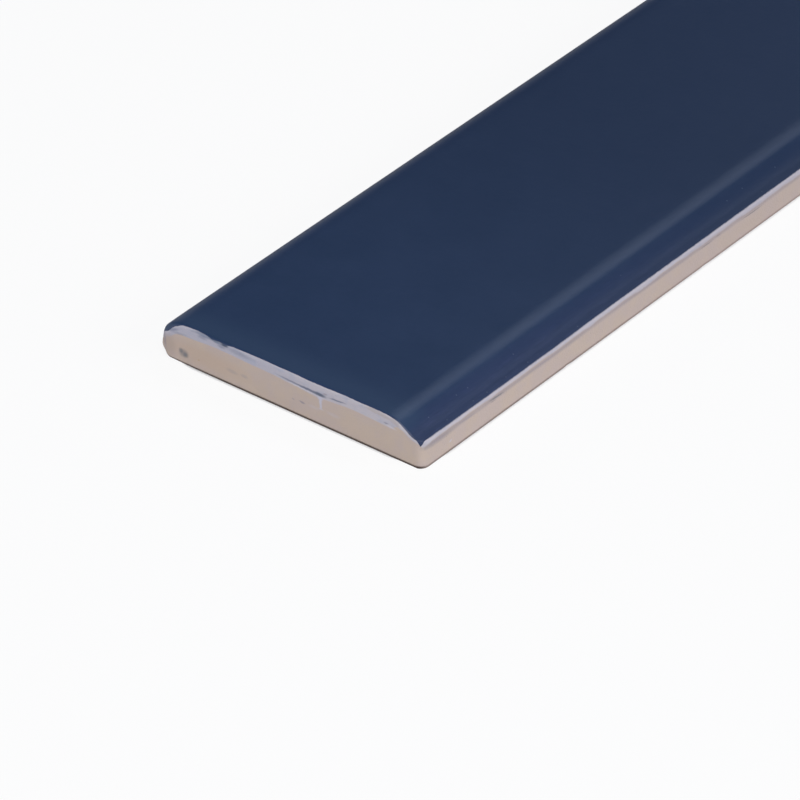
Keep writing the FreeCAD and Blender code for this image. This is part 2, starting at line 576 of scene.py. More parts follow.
for x in (shoulder_start(), HALF_WIDTH):
    print("face height at", round(x, 2), "is", round(face_height(x), 2))

# %% [markdown]
# ## Rings along the tile
# The body is made of rings of points, one behind the other from end to end. Near an end the
# rings lie closer, spaced by angle, so the rounding looks round. A point with a larger radius
# begins to pull in sooner, so every point of the section has ring distances of its own.

# %% Rings from end to end
ROUND_RINGS = 8
EASE_RINGS = 4
EASE_REACH = 2.25
RING_PITCH = 0.8


def runs():
    """The four runs as places, each pair of opposite runs going the same way."""
    left = [bullnose_place(*point) for point in bullnose_run()]
    top = [
        bullnose_place(*point) if point[0] < 0 else step_place(*point) for point in face_run()
    ]
    right = [step_place(*point) for point in reversed(lip_run())]
    back = [back_place(*point) for point in back_run()]
    left[0] = back[0]
    right[0] = back[-1]
    return left, top, right, back


def loop_of(left, top, right, back):
    """All the way round once, without any corner twice: up, over, down and back."""
    return left[:-1] + top[:-1] + right[:0:-1] + back[:0:-1]


def ring_distances(place):
    """How far from the end this point lies on each ring of one rounded end."""
    spread = max(place.rim, RIM_RADIUS + (CORNER_RADIUS - RIM_RADIUS) * abs(place.pull))
    if place.on_back:
        spread = BACK_BEVEL + (CORNER_RADIUS - BACK_BEVEL) * abs(place.pull) ** 3
    turns = [math.pi / 2 * (1 - ring / ROUND_RINGS) for ring in range(ROUND_RINGS + 1)]
    near = [spread * (1 - math.sin(turn)) for turn in turns]
    ease = [spread + (EASE_REACH - spread) * ring / EASE_RINGS for ring in range(1, EASE_RINGS + 1)]
    return near + ease


def body_rings(loop):
    """Rings of (x, y, z), from the near end at -Y to the far end."""
    distances = [ring_distances(place) for place in loop]
    end = []
    for ring in range(ROUND_RINGS + EASE_RINGS + 1):
        inwards = [row[ring] for row in distances]
        end.append([(*moved(place, to_end), to_end) for place, to_end in zip(loop, inwards)])
    rings = [[(x, to_end - HALF_LENGTH, z) for x, z, to_end in ring] for ring in end]
    inner = 2 * (HALF_LENGTH - EASE_REACH)
    stops = round(inner / RING_PITCH)
    for stop in range(1, stops):
        y = EASE_REACH - HALF_LENGTH + inner * stop / stops
        rings.append([(place.x, y, place.z) for place in loop])
    rings += [[(x, HALF_LENGTH - to_end, z) for x, z, to_end in ring] for ring in reversed(end)]
    return rings


print("points in a ring", len(loop_of(*runs())))

# %% [markdown]
# ## Flat ends
# Each end is closed with a grid whose inner points are worked out from its four sides: this is
# a Coons patch, the usual way to fill four joined curves. One large face would be quicker, but
# the finishes meet on the end, and their edges are stored at the points inside it.

# %% A grid that closes an end
def end_grid(left, top, right, back, y):
    """The flat end as rows of points from the back up, worked out from its four sides."""
    sides = []
    for run in (left, top, right, back):
        sides.append([Vector(moved(place, 0.0)) for place in run])
    left, top, right, back = sides
    rows = len(left) - 1
    columns = len(top) - 1
    grid = []
    for row in range(rows + 1):
        v = row / rows
        line = []
        for column in range(columns + 1):
            u = column / columns
            edges = back[column] * (1 - v) + top[column] * v + left[row] * (1 - u) + right[row] * u
            lower = back[0] * (1 - u) + back[-1] * u
            upper = top[0] * (1 - u) + top[-1] * u
            spot = edges - (lower * (1 - v) + upper * v)
            line.append((spot.x, y, spot.y))
        grid.append(line)
    return grid


near_grid = end_grid(*runs(), -HALF_LENGTH)
print("end grid", len(near_grid), "rows of", len(near_grid[0]), "points")

# %% [markdown]
# ## One closed body
# The rings are joined with four-sided faces, the grids are added, and the points that lie on
# each other are welded. A closed body has no open edge, so the cell counts them.

# %% Join and weld
WELD_DISTANCE = 0.0005


def tile_mesh():
    left, top, right, back = runs()
    loop = loop_of(left, top, right, back)
    rings = body_rings(loop)
    verts = [point for ring in rings for point in ring]
    faces = []
    size = len(loop)
    for ring in range(len(rings) - 1):
        for i in range(size):
            j = (i + 1) % size
            a, b = ring * size, (ring + 1) * size
            faces.append((a + i, a + j, b + j, b + i))
    for y in (-HALF_LENGTH, HALF_LENGTH):
        first = len(verts)
        grid = end_grid(left, top, right, back, y)
        columns = len(grid[0])
        verts += [point for line in grid for point in line]
        for row in range(len(grid) - 1):
            for column in range(columns - 1):
                a = first + row * columns + column
                faces.append((a, a + 1, a + 1 + columns, a + columns))
    mesh = bpy.data.meshes.new("tile_body")
    mesh.from_pydata(verts, [], faces)
    return weld(mesh)


def weld(mesh):
    """Joins the end grids to the outer rings, and turns every face outwards."""
    shape = bmesh.new()
    shape.from_mesh(mesh)
    bmesh.ops.remove_doubles(shape, verts=shape.verts, dist=WELD_DISTANCE)
    bmesh.ops.recalc_face_normals(shape, faces=shape.faces)
    open_edges = sum(not edge.is_manifold for edge in shape.edges)
    print("body", len(shape.verts), "points,", len(shape.faces), "faces, open edges", open_edges)
    shape.to_mesh(mesh)
    shape.free()
    return mesh


body = bpy.data.objects.new("tile_body", tile_mesh())
scene.collection.objects.link(body)

# %% [markdown]
# ## Keying grooves
# The adhesive on the wall grips four shallow grooves in the back. They could be modelled into
# the rings, but a slot with round ends doesn't follow a grid. A Boolean is the plain answer:
# one cutter holds the four slots, whose sides lean so that the press lets go, and the exact
# solver takes them out of the body.

# %% Cut the grooves
GROOVE_PITCH = 9.0
GROOVE_WIDTH = 5.0
GROOVE_DEPTH = 0.6
GROOVE_DRAFT = 30.0
GROOVE_END_LAND = 9.0
GROOVE_PLACES = (-1.5, -0.5, 0.5, 1.5)
SLOT_ARC_STEPS = 14
BELOW_BACK = 0.3


def slot_ring(x, z):
    """The outline of a slot at one height: two straight sides and two half circles."""
    radius = GROOVE_WIDTH / 2 - z * math.tan(math.radians(GROOVE_DRAFT))
    far = HALF_LENGTH - GROOVE_END_LAND - GROOVE_WIDTH / 2
    ring = []
    for end, start in ((far, 0.0), (-far, math.pi)):
        for stop in range(SLOT_ARC_STEPS + 1):
            turn = start + math.pi * stop / SLOT_ARC_STEPS
            ring.append((x + radius * math.cos(turn), end + radius * math.sin(turn), z))
    return ring


def groove_cutter():
    shape = bmesh.new()
    for place in GROOVE_PLACES:
        x = place * GROOVE_PITCH
        lower = [shape.verts.new(point) for point in slot_ring(x, -BELOW_BACK)]
        upper = [shape.verts.new(point) for point in slot_ring(x, GROOVE_DEPTH)]
        shape.faces.new(lower)
        shape.faces.new(upper)
        for i, vert in enumerate(lower):
            j = (i + 1) % len(lower)
            shape.faces.new((vert, lower[j], upper[j], upper[i]))
    bmesh.ops.recalc_face_normals(shape, faces=shape.faces)
    mesh = bpy.data.meshes.new("groove_cutter")
    shape.to_mesh(mesh)
    shape.free()
    return bpy.data.objects.new("groove_cutter", mesh)


def with_grooves(solid):
    """The body's mesh with the grooves cut out of it."""
    cutter = groove_cutter()
    scene.collection.objects.link(cutter)
    boolean = solid.modifiers.new("grooves", "BOOLEAN")
    boolean.operation = "DIFFERENCE"
    boolean.solver = "EXACT"
    boolean.object = cutter
    graph = bpy.context.evaluated_depsgraph_get()
    mesh = bpy.data.meshes.new_from_object(solid.evaluated_get(graph))
    for helper in (solid, cutter):
        bpy.data.objects.remove(helper)
    return mesh


mesh = with_grooves(body)
print("grooved", len(mesh.vertices), "points,", len(mesh.polygons), "faces")

# %% [markdown]
# ## Where the finishes begin and end
# The glaze was laid on from above, so what matters is how far a point lies below the rim of
# the face. On an end that is its distance from the section's outline, which a k-d tree finds
# quickly: the tree holds many points of the outline and returns the nearest. Two numbers are
# kept for each vertex, the distance below the glaze's edge and the distance below the slip's
# edge, and the material turns them into sharp, ragged lines. Painting a texture would do the
# same, but numbers on the mesh need no picture file.

# %% Distance below the rim of the face
OUTLINE_STEP = 0.05
BULLNOSE_GLAZE_EDGE = 4.2


def outline_tree():
    """A k-d tree of points along the glazed outline, from the bullnose's side to the lip."""
    points = bullnose_run()[1:-1] + face_run()[:-LIP_STEPS] + [(HALF_WIDTH, LIP_HEIGHT, 1.0, 0.0)]
    dense = []
    for (x0, z0, *_), (x1, z1, *_) in zip(points, points[1:]):
        stops = max(1, math.ceil(math.hypot(x1 - x0, z1 - z0) / OUTLINE_STEP))
        for stop in range(stops):
            share = stop / stops
            dense.append((x0 + (x1 - x0) * share, 0.0, z0 + (z1 - z0) * share))
    tree = kdtree.KDTree(len(dense))
    for number, point in enumerate(dense):
        tree.insert(point, number)
    tree.balance()
    return tree


OUTLINE = outline_tree()


def below_rim(x, y, z):
    """How far a point lies below the line where the face turns over an edge: below 0 on it."""
    to_end = HALF_LENGTH - abs(y)
    at_lip = (LIP_HEIGHT - z) - (HALF_WIDTH - x)
    at_bullnose = (BULLNOSE_GLAZE_EDGE - z) - max(0.0, x + HALF_WIDTH - BULLNOSE_RADIUS)
    at_end = -to_end
    if to_end < CORNER_RADIUS:
        at_end = OUTLINE.find((x, 0.0, z))[2] - to_end
    return max(at_end, at_lip, at_bullnose)


print("middle of the near end", round(below_rim(0.0, -HALF_LENGTH, 3.6), 2), "mm below the rim")

# %% [markdown]
# ## The two edges
# The glaze stops about where the rim turns, a little unevenly, with two soft runs near the
# bullnose and a small tongue over the corner beside the lip. The slip reaches 2 mm further down
# the crown's end, and makes only a thin line below the ramp and along the lip. The depth of
# both edges below the rim, at a few places, is read off the photograph: each row is a
# place in millimetres across the end, or along the lip, and the depth there.

# %% Depth of the glaze and of the slip
GLAZE_ON_END = [
    (-25.0, -0.20), (-23.0, 0.90), (-21.6, 0.55), (-20.0, -0.05), (-18.0, -0.28), (-15.5, -0.14),
    (-10.0, -0.08), (-7.0, -0.24), (-1.0, -0.20), (4.0, -0.06), (7.0, -0.08), (9.0, -0.20),
    (17.0, -0.22), (20.0, -0.06), (22.8, 0.05), (25.0, 0.14),
]
SLIP_ON_END = [
    (-25.0, 0.45), (-23.8, 1.1), (-22.5, 1.85), (-20.0, 1.92), (-13.0, 1.55), (-4.0, 1.65), (0.0, 1.95),
    (5.0, 2.2), (12.0, 1.75), (19.0, 2.0), (20.5, 0.8), (21.5, 0.5), (24.0, 0.45), (25.0, 0.8),
]
GLAZE_ON_LIP = [
    (-150.0, -0.26), (-147.4, -0.21), (-144.5, -0.12), (-130.0, -0.07), (-120.0, -0.08),
    (-108.0, -0.20), (150.0, -0.22),
]
SLIP_ON_LIP = [(-150.0, 0.72), (-143.0, 0.66), (-90.0, 0.68), (-70.0, 0.84), (150.0, 0.78)]
GLAZE_ON_BULLNOSE = 0.1
SLIP_ON_BULLNOSE = 1.2
TONGUE_PLACE = (24.35, 0.26)
TONGUE_WIDTH = 0.30
TONGUE_DEPTH = 0.70

Run = namedtuple("Run", "place width depth")
RUNS = [Run(-14.5, 1.1, 0.46), Run(-12.3, 0.9, 0.32)]
print("places read for the glaze", len(GLAZE_ON_END + GLAZE_ON_LIP))
print("places read for the slip", len(SLIP_ON_END + SLIP_ON_LIP))

# %% [markdown]
# ## The edges on the mesh
# Between its rows a table is interpolated, an end goes over into the long side within a
# millimetre, and slow noise makes both lines wander, so that no stretch looks ruled. The
# results become two float attributes of the mesh, one number for each vertex.

# %% Edges of the glaze and of the slip
END_BLEND = 0.9


def along_table(table, x):
    """Reads a value between the rows of a short table of (x, value)."""
    for (x0, value0), (x1, value1) in zip(table, table[1:]):
        if x <= x1:
            return value0 + (value1 - value0) * smooth(x, x0, x1)
    return table[-1][1]


def wander(x, y, size, seed):
    """Slow noise from -1 to 1, whose features are about this many millimetres across."""
    return noise.noise(Vector((x / size + seed, y / size, 0.0)))


def toward_end(on_end, on_side, y):
    """Goes over from the edge's height on a long side to its height on an end."""
    share = smooth(HALF_LENGTH - abs(y), 0.0, END_BLEND)
    return on_end * (1 - share) + on_side * share


def glaze_edge(x, y):
    """How far below the rim the glaze reaches here. Only the near end has runs."""
    near = smooth(-y, HALF_LENGTH - 2.0, HALF_LENGTH - 1.0)
    run_down = sum(run.depth * math.exp(-(((x - run.place) / run.width) ** 2)) for run in RUNS)
    on_end = along_table(GLAZE_ON_END, x) + near * run_down
    on_side = along_table(GLAZE_ON_LIP, y) if x > 0 else GLAZE_ON_BULLNOSE
    from_tongue = math.hypot(x - TONGUE_PLACE[0], HALF_LENGTH - abs(y) - TONGUE_PLACE[1])
    tongue = TONGUE_DEPTH * math.exp(-((from_tongue / TONGUE_WIDTH) ** 2))
    wobble = 0.05 * wander(x, y, 3.0, 5.0) + 0.03 * wander(x, y, 0.9, 11.0)
    return toward_end(on_end, on_side, y) + tongue + wobble


def slip_edge(x, y):
    """How far below the rim the slip reaches here."""
    on_side = along_table(SLIP_ON_LIP, y) if x > 0 else SLIP_ON_BULLNOSE
    on_side += 0.30 * wander(0.0, y, 7.0, 23.0) + 0.12 * wander(0.0, y, 2.0, 31.0)
    wobble = 0.12 * wander(x, y, 4.0, 41.0) + 0.05 * wander(x, y, 1.2, 47.0)
    return toward_end(along_table(SLIP_ON_END, x), on_side, y) + wobble


def write_edges(mesh):
    """Stores how far each vertex lies below the two edges."""
    below_glaze = []
    below_slip = []
    for vert in mesh.vertices:
        x, y, z = vert.co
        rim = below_rim(x, y, z)
        below_glaze.append(rim - glaze_edge(x, y))
        below_slip.append(rim - slip_edge(x, y))
    for name, values in (("below_glaze", below_glaze), ("below_slip", below_slip)):
        layer = mesh.attributes.new(name, "FLOAT", "POINT")
        layer.data.foreach_set("value", values)
        print(name, "from", round(min(values), 2), "to", round(max(values), 2))


write_edges(mesh)

# %% [markdown]
# ## Fired shape
# Clay moves in the kiln and in the hand. The face rolls down a little towards each end, the
# crown has faint waves and the corner beside the lip has sunk. The foot corner beside the
# bullnose is worn and stands a little clear of the card, and the foot below the lip has two
# small chips. All of this only takes clay away, so the tile stays inside its drawn size. Each
# point keeps its share of the tile's height as the face sinks, which leaves the back flat.

# %% Sink, wear and chips
END_SAG = 0.10
END_SAG_REACH = 2.2
WAVE_DEPTH = 0.015
WAVE_SIZE = 26.0
CORNER_SINK = 0.12
CORNER_SINK_REACH = 3.0
WORN_DEPTH = 0.5
WORN_CORE = 0.4
WORN_REACH = 2.1
FOOT_LIFT = 0.32
FOOT_LIFT_REACH = 5.5
FOOT_BAND = 1.0
INWARDS = Vector((1.0, 1.0, 0.5)).normalized()
FOOT_CHIPS = [(-114.8, 0.9), (-80.0, 0.8)]
CHIP_DEPTH = 0.12
SHARP_ANGLE = 30.0


def sink(x, y):
    """How far the face has sunk below the drawn crown."""
    to_end = HALF_LENGTH - abs(y)
    sag = END_SAG * math.exp(-to_end / END_SAG_REACH)
    waves = WAVE_DEPTH * (1 + wander(x, y, WAVE_SIZE, 3.0))
    from_corner = math.hypot(HALF_WIDTH - x, HALF_LENGTH + y)
    return sag + waves + CORNER_SINK * math.exp(-((from_corner / CORNER_SINK_REACH) ** 2))


def wear(point):
    """How the worn foot corner beside the bullnose moves a point: inwards and up."""
    corner = Vector((-HALF_WIDTH, -HALF_LENGTH, 0.0))
    reach = (Vector(point) - corner).length
    pushed = INWARDS * WORN_DEPTH * (1 - smooth(reach, WORN_CORE, WORN_REACH))
    lifted = FOOT_LIFT * math.exp(-reach / FOOT_LIFT_REACH) * max(0.0, 1 - point.z / FOOT_BAND)
    return pushed + Vector((0.0, 0.0, lifted))


def chip(x, y, z):
    """How deep a small chip in the foot below the lip is at this place."""
    if x < HALF_WIDTH - FOOT_BAND or z > FOOT_BAND:
        return 0.0
    deepest = max(1 - abs((y - place) / width) for place, width in FOOT_CHIPS)
    return CHIP_DEPTH * max(0.0, deepest) * (1 - z / FOOT_BAND)


def fire(mesh):
    for vert in mesh.vertices:
        x, y, z = vert.co
        shape = Vector((x - chip(x, y, z), y, z * (1 - sink(x, y) / CROWN_HEIGHT)))
        vert.co = (shape + wear(vert.co)) * MM


fire(mesh)
mesh.set_sharp_from_angle(angle=math.radians(SHARP_ANGLE))
print("highest point", round(max(vert.co.z for vert in mesh.vertices) / MM, 3), "mm")

# %% [markdown]
# ## One material, three finishes
# Glaze, slip and clay meet along ragged lines on one surface, so one material holds all three
# and masks choose between them: `bare` is 1 where the glaze ends and `clay` is 1 where the slip
# ends too, and both soften near the lip. The material works in object coordinates, multiplied
# up to millimetres, so that a scale of 2 means two features in a millimetre.

# %% Nodes that the finishes share
RAGGED_GLAZE = 0.16
RAGGED_SLIP = 0.22

finish = bpy.data.materials.new("fired_and_glazed")
finish.use_nodes = True
tree = finish.node_tree
tree.nodes.clear()

coordinates = Wire.node(tree, "TexCoord", {}, {}, output="Object")
place = Wire.node(
    tree, "VectorMath", {"operation": "SCALE"}, {0: coordinates, "Scale": 1 / MM}
)


def attribute(name):
    return Wire.node(tree, "Attribute", {"attribute_name": name}, {}, output="Fac")


def noise_at(vector, scale, detail=2.0, roughness=0.5):
    """Noise from about 0 to 1 with this many features in a millimetre."""
    return Wire.node(
        tree, "TexNoise", {},
        {"Vector": vector, "Scale": scale, "Detail": detail, "Roughness": roughness},
    )


def stretched(vector, x, y, z):
    """The same places, multiplied along each axis: below 1 a pattern grows longer that way."""
    return Wire.node(tree, "VectorMath", {"operation": "MULTIPLY"}, {0: vector, 1: (x, y, z)})


def toward_lip(start, end):
    """0 up to start, 1 from end on: both are millimetres in from the lip's side."""
    return step(across, HALF_WIDTH - start, HALF_WIDTH - end)


across, along, up = (
    Wire.node(tree, "SeparateXYZ", {}, {0: place}, output=axis) for axis in "XYZ"
)
ragged = noise_at(place, 2.2, 3.0, 0.6) - 0.5
below_glaze = attribute("below_glaze") + ragged * RAGGED_GLAZE
below_slip = attribute("below_slip") + ragged * RAGGED_SLIP
at_lip = toward_lip(0.35, 0.10)
bare = step(below_glaze, -0.05 - 0.04 * at_lip, 0.05 + 0.22 * at_lip)
clay = step(below_slip, -0.12 - 0.08 * at_lip, 0.12 + 0.10 * at_lip)
print("shared nodes", len(tree.nodes))

# %% [markdown]
# ## Navy glaze
# A satin glaze is a coloured glass with tiny crystals in it, so it is deep in colour but its
# reflections are soft. Its colour is darker than it looks, because the room's reflection adds
# light on top. It is thinner, and so lighter and bluer, towards the edges. Near each end it is
# painted lighter, a painted sheen where the face rolls down, and further in it is painted darker,
# a painted shade for light that falls off along the tile. On the step it ran down in streaks, and a few
# pale
# specks lie in it: they are cells of a Voronoi pattern, of which only a few are chosen.

# %% Colour of the glaze
NAVY = from_srgb(27, 48, 79)
NAVY_PALE = from_srgb(32, 52, 84)
NAVY_DEEP = from_srgb(14, 36, 66)
NAVY_THIN = from_srgb(53, 65, 106)
NAVY_END = from_srgb(40, 60, 89)
NAVY_STEP = from_srgb(40, 51, 86)
SPECK = from_srgb(120, 128, 150)
SPECK_SCALE = 0.45

cloud = noise_at(place, 0.12, 3.0)
mottle = noise_at(place, 0.7, 3.0)
streaks = noise_at(stretched(place, 3.2, 0.32, 3.2), 1.0, 3.0)
on_step = toward_lip(4.5, 2.0)
off_lip = 1 - toward_lip(4.0, 2.0)
in_cove = toward_lip(3.2, 2.0)
past_shoulder = toward_lip(4.8, 3.0)
on_bullnose = 1 - step(across, 1.5 - HALF_WIDTH, 5.0 - HALF_WIDTH)
navy = blend(step(cloud, 0.3, 0.7) * 0.5 + step(mottle, 0.35, 0.65) * 0.3, NAVY, NAVY_PALE)
navy = blend(step(streaks, 0.52, 0.70) * on_step * 0.5, navy, NAVY_THIN)
navy = blend((1 - step(streaks, 0.32, 0.44)) * on_step * 0.7, navy, NAVY_DEEP)
navy = blend(past_shoulder * 0.5, navy, NAVY_STEP)
to_end = HALF_LENGTH - along.math("ABSOLUTE", along)
# Painted shade: from 5 mm to 95 mm in from each end the finishes darken, standing in for light that
# falls off along the tile.
falloff_shade = step(to_end, 5.0, 95.0)
navy = blend(falloff_shade * 0.8, navy, NAVY_DEEP)
# Painted sheen: the glaze is lighter within about 7 mm of each end, where the face rolls down.
navy = blend((1 - step(to_end, 1.2, 7.0)) * off_lip, navy, NAVY_END)
navy = blend(step(below_glaze, -0.5, -0.02) * off_lip * 0.35, navy, NAVY_THIN)

flat_cells = {"feature": "F1", "voronoi_dimensions": "2D"}
cell_inputs = {"Vector": place, "Scale": SPECK_SCALE}
from_middle = Wire.node(tree, "TexVoronoi", flat_cells, cell_inputs)
pick = Wire.node(tree, "TexVoronoi", flat_cells, cell_inputs, output="Color")
chosen = step(Wire.node(tree, "SeparateColor", {}, {0: pick}), 0.83, 0.85)
speck = (1 - step(from_middle, 0.015, 0.060)) * chosen * toward_lip(5.0, 3.0)
navy = blend(speck * 0.45, navy, SPECK)
print("nodes with the glaze", len(tree.nodes))

# %% [markdown]
# ## Pale slip
# Under the glaze lies a thin coat of white slip, which keeps the buff clay from dulling the
# blue. On the bare edges it shows as a lavender grey band, brightest right below the glaze,
# streaky where it was wiped, and worn through to the clay in places near the shoulder.

# %% Colour of the slip
SLIP = from_srgb(178, 175, 186)
SLIP_ROSY = from_srgb(188, 182, 188)
SLIP_BLUE = from_srgb(156, 162, 184)
SLIP_WHITE = from_srgb(204, 199, 206)
SLIP_FALLOFF_SHADE = from_srgb(168, 163, 172)

patches = noise_at(stretched(place, 1.0, 1.0, 2.2), 0.5, 3.0)
fine = noise_at(stretched(place, 1.0, 1.0, 2.5), 2.4, 2.0)
slip = blend(step(across, -8.0, 7.0), SLIP, SLIP_ROSY)
slip = blend(step(patches, 0.45, 0.70) * 0.40, slip, SLIP_BLUE)
slip = blend(step(fine, 0.5, 0.8) * 0.35, slip, SLIP_WHITE)
slip = blend((1 - step(below_glaze, 0.05, 0.40)) * 0.3, slip, SLIP_WHITE)
# Painted shade along the tile, as on the glaze.
slip = blend(falloff_shade * 0.5, slip, SLIP_FALLOFF_SHADE)
print("nodes with the slip", len(tree.nodes))

# %% [markdown]
# ## Buff clay
# The fired body is a fine-grained buff clay. Three sizes of noise make it: soft clouds of
# warmer and cooler clay, a grain of about a third of a millimetre, and a few dark specks.
# Along the foot it is darker: this is a painted contact shadow where the foot meets the card. On the
# lip's side a greyer strip follows a little below the slip: this is painted shade, as a shallow groove
# would cast.

# %% Colour of the clay
CLAY = from_srgb(191, 174, 165)
CLAY_WARM = from_srgb(194, 176, 161)
CLAY_GREY = from_srgb(185, 171, 165)
CLAY_SPECK = from_srgb(132, 116, 104)
CLAY_FOOT_SHADOW = from_srgb(74, 60, 54)
CLAY_SHADE_LINE = from_srgb(156, 146, 146)
CLAY_FALLOFF_SHADE = from_srgb(176, 160, 153)

warmth = noise_at(place, 0.35, 3.0)
grain = noise_at(place, 3.2, 2.0, 0.6)
pits = noise_at(place, 5.5, 1.0)
patches_along = noise_at(stretched(place, 1.0, 0.12, 1.0), 1.0, 2.0)
buff = blend(step(warmth, 0.35, 0.65), CLAY, CLAY_WARM)
buff = blend(step(grain, 0.5, 0.75) * 0.55, buff, CLAY_GREY)
buff = blend(step(pits, 0.70, 0.80) * 0.5, buff, CLAY_SPECK)
# Painted shadow: a dark line along the foot where it meets the card, stronger on the ends.
foot = (1 - step(up + ragged * 0.12, 0.30, 0.61)) * step(up, 0.01, 0.05)
on_end = step(along, 1.0 - HALF_LENGTH, 0.2 - HALF_LENGTH)
buff = blend(foot * (0.62 + 0.38 * on_end), buff, CLAY_FOOT_SHADOW)
# Painted shade along the tile, as on the glaze.
buff = blend(falloff_shade * 0.45, buff, CLAY_FALLOFF_SHADE)
# Painted shade: a soft dark line on the lip's side a little below the slip, as a shallow groove would
# cast.
shade_line = step(below_glaze, 0.62, 1.02) * (1 - step(below_glaze, 1.25, 1.95)) * at_lip
buff = blend(shade_line * (0.4 + 0.5 * patches_along), buff, CLAY_SHADE_LINE)
print("nodes with the clay", len(tree.nodes))

# %% [markdown]
# ## Marks of handling and painted shade
# Glaze dust, drips and finger marks show on the bare edges, and two marks at the bullnose's corner
# are painted shade, where the rounded corner turns from the light. Each one is a row of a table: where
# its middle lies along the side and how high, its two half sizes in millimetres, its tilt in
# degrees, its colour, and how strongly it covers what is below. Marks further down a table
# lie on top. Brushing them onto a picture would be quicker, but a table can be put right by
# one number at a time.

# %% Where the marks are
Mark = namedtuple("Mark", "along up length height tilt colour strength")

GREY = from_srgb(112, 114, 120)
DARK_BLUE = from_srgb(98, 104, 126)
MAUVE = from_srgb(150, 142, 150)
CLAY_BUFF = from_srgb(191, 170, 153)
CLAY_SHADED = from_srgb(150, 134, 126)
WHITISH = from_srgb(192, 190, 202)
TAN = from_srgb(176, 148, 112)
TEAL = from_srgb(92, 106, 128)
SLIP_STAIN = from_srgb(124, 130, 150)
CRESCENT = from_srgb(92, 100, 118)
CLAY_WORN = from_srgb(178, 168, 168)

END_MARKS = [
    Mark(-16.50, 2.90, 8.00, 1.60, 0.0, CLAY_BUFF, 0.85),
    Mark(-20.25, 2.05, 0.85, 0.68, 0.0, GREY, 0.60),
    Mark(-20.75, 2.35, 0.38, 0.40, 0.0, GREY, 0.60),
    Mark(-19.90, 1.90, 0.42, 0.42, 0.0, GREY, 0.70),
    # The next two rows are painted shade where the bullnose's rounded corner turns from the light.
    Mark(-23.90, 3.10, 0.25, 1.30, 6.0, MAUVE, 0.60),
    Mark(-23.20, 2.60, 1.30, 1.90, 0.0, CLAY_SHADED, 0.24),
    Mark(-22.40, 5.45, 1.20, 0.26, 20.0, SLIP_STAIN, 0.70),
    Mark(-21.10, 5.25, 1.50, 0.22, 8.0, SLIP_STAIN, 0.35),
    Mark(-18.20, 6.75, 0.90, 0.20, 0.0, SLIP_STAIN, 0.35),
    Mark(-16.60, 6.38, 0.90, 0.32, -4.0, SLIP_STAIN, 0.50),
    Mark(-16.40, 6.86, 1.60, 0.30, -4.0, TEAL, 0.55),
    Mark(-14.20, 6.82, 1.40, 0.30, -6.0, TEAL, 0.80),
    Mark(-12.30, 6.74, 0.70, 0.30, -3.0, NAVY_END, 0.90),
    Mark(-12.90, 6.26, 0.75, 0.28, 0.0, SLIP_STAIN, 0.60),
    Mark(-10.90, 2.64, 1.10, 0.34, -4.0, MAUVE, 0.32),
    Mark(-8.60, 2.74, 0.70, 0.30, 0.0, MAUVE, 0.35),
    Mark(-9.80, 6.42, 1.80, 0.46, -2.0, SLIP_STAIN, 0.42),
    Mark(-7.90, 6.40, 1.50, 0.30, -3.0, SLIP_STAIN, 0.22),
    Mark(0.60, 5.60, 2.60, 0.17, -2.5, DARK_BLUE, 0.65),
    Mark(3.60, 5.52, 1.80, 0.23, -1.5, DARK_BLUE, 0.85),
    Mark(5.75, 5.50, 1.20, 0.30, -1.0, CRESCENT, 0.95),
    Mark(6.80, 5.95, 0.45, 0.18, 10.0, MAUVE, 0.70),
    Mark(9.10, 5.76, 1.50, 0.16, 5.0, DARK_BLUE, 0.75),
    Mark(2.20, 5.22, 2.80, 0.11, -1.5, SLIP_WHITE, 0.80),
    Mark(5.85, 5.06, 0.85, 0.14, 0.0, WHITISH, 1.00),
    Mark(5.85, 4.80, 0.46, 0.30, 0.0, WHITISH, 1.00),
    Mark(5.92, 4.20, 0.27, 0.60, 3.0, WHITISH, 1.00),
    Mark(5.98, 3.50, 0.19, 0.50, 3.0, WHITISH, 0.95),
    Mark(6.05, 3.02, 0.50, 0.14, 0.0, WHITISH, 0.60),
    Mark(2.45, 2.74, 0.55, 0.18, -4.0, MAUVE, 0.85),
    Mark(0.76, 2.61, 0.25, 0.15, 0.0, MAUVE, 0.45),
    Mark(4.70, 2.78, 1.00, 0.25, 0.0, WHITISH, 0.25),
    Mark(8.30, 2.90, 1.30, 0.30, 0.0, WHITISH, 0.25),
    Mark(-17.34, 2.01, 0.16, 0.12, 0.0, TAN, 0.60),
    Mark(15.90, 6.80, 1.60, 0.26, -5.0, CLAY_WORN, 0.85),
    Mark(17.90, 6.72, 1.40, 0.28, -6.0, CLAY_WORN, 0.85),
    Mark(19.90, 6.36, 0.90, 0.34, -22.0, CLAY_WORN, 0.80),
    Mark(18.20, 5.66, 0.45, 0.13, 0.0, DARK_BLUE, 0.55),
    Mark(19.20, 5.30, 0.90, 0.16, -4.0, SLIP_WHITE, 0.60),
]
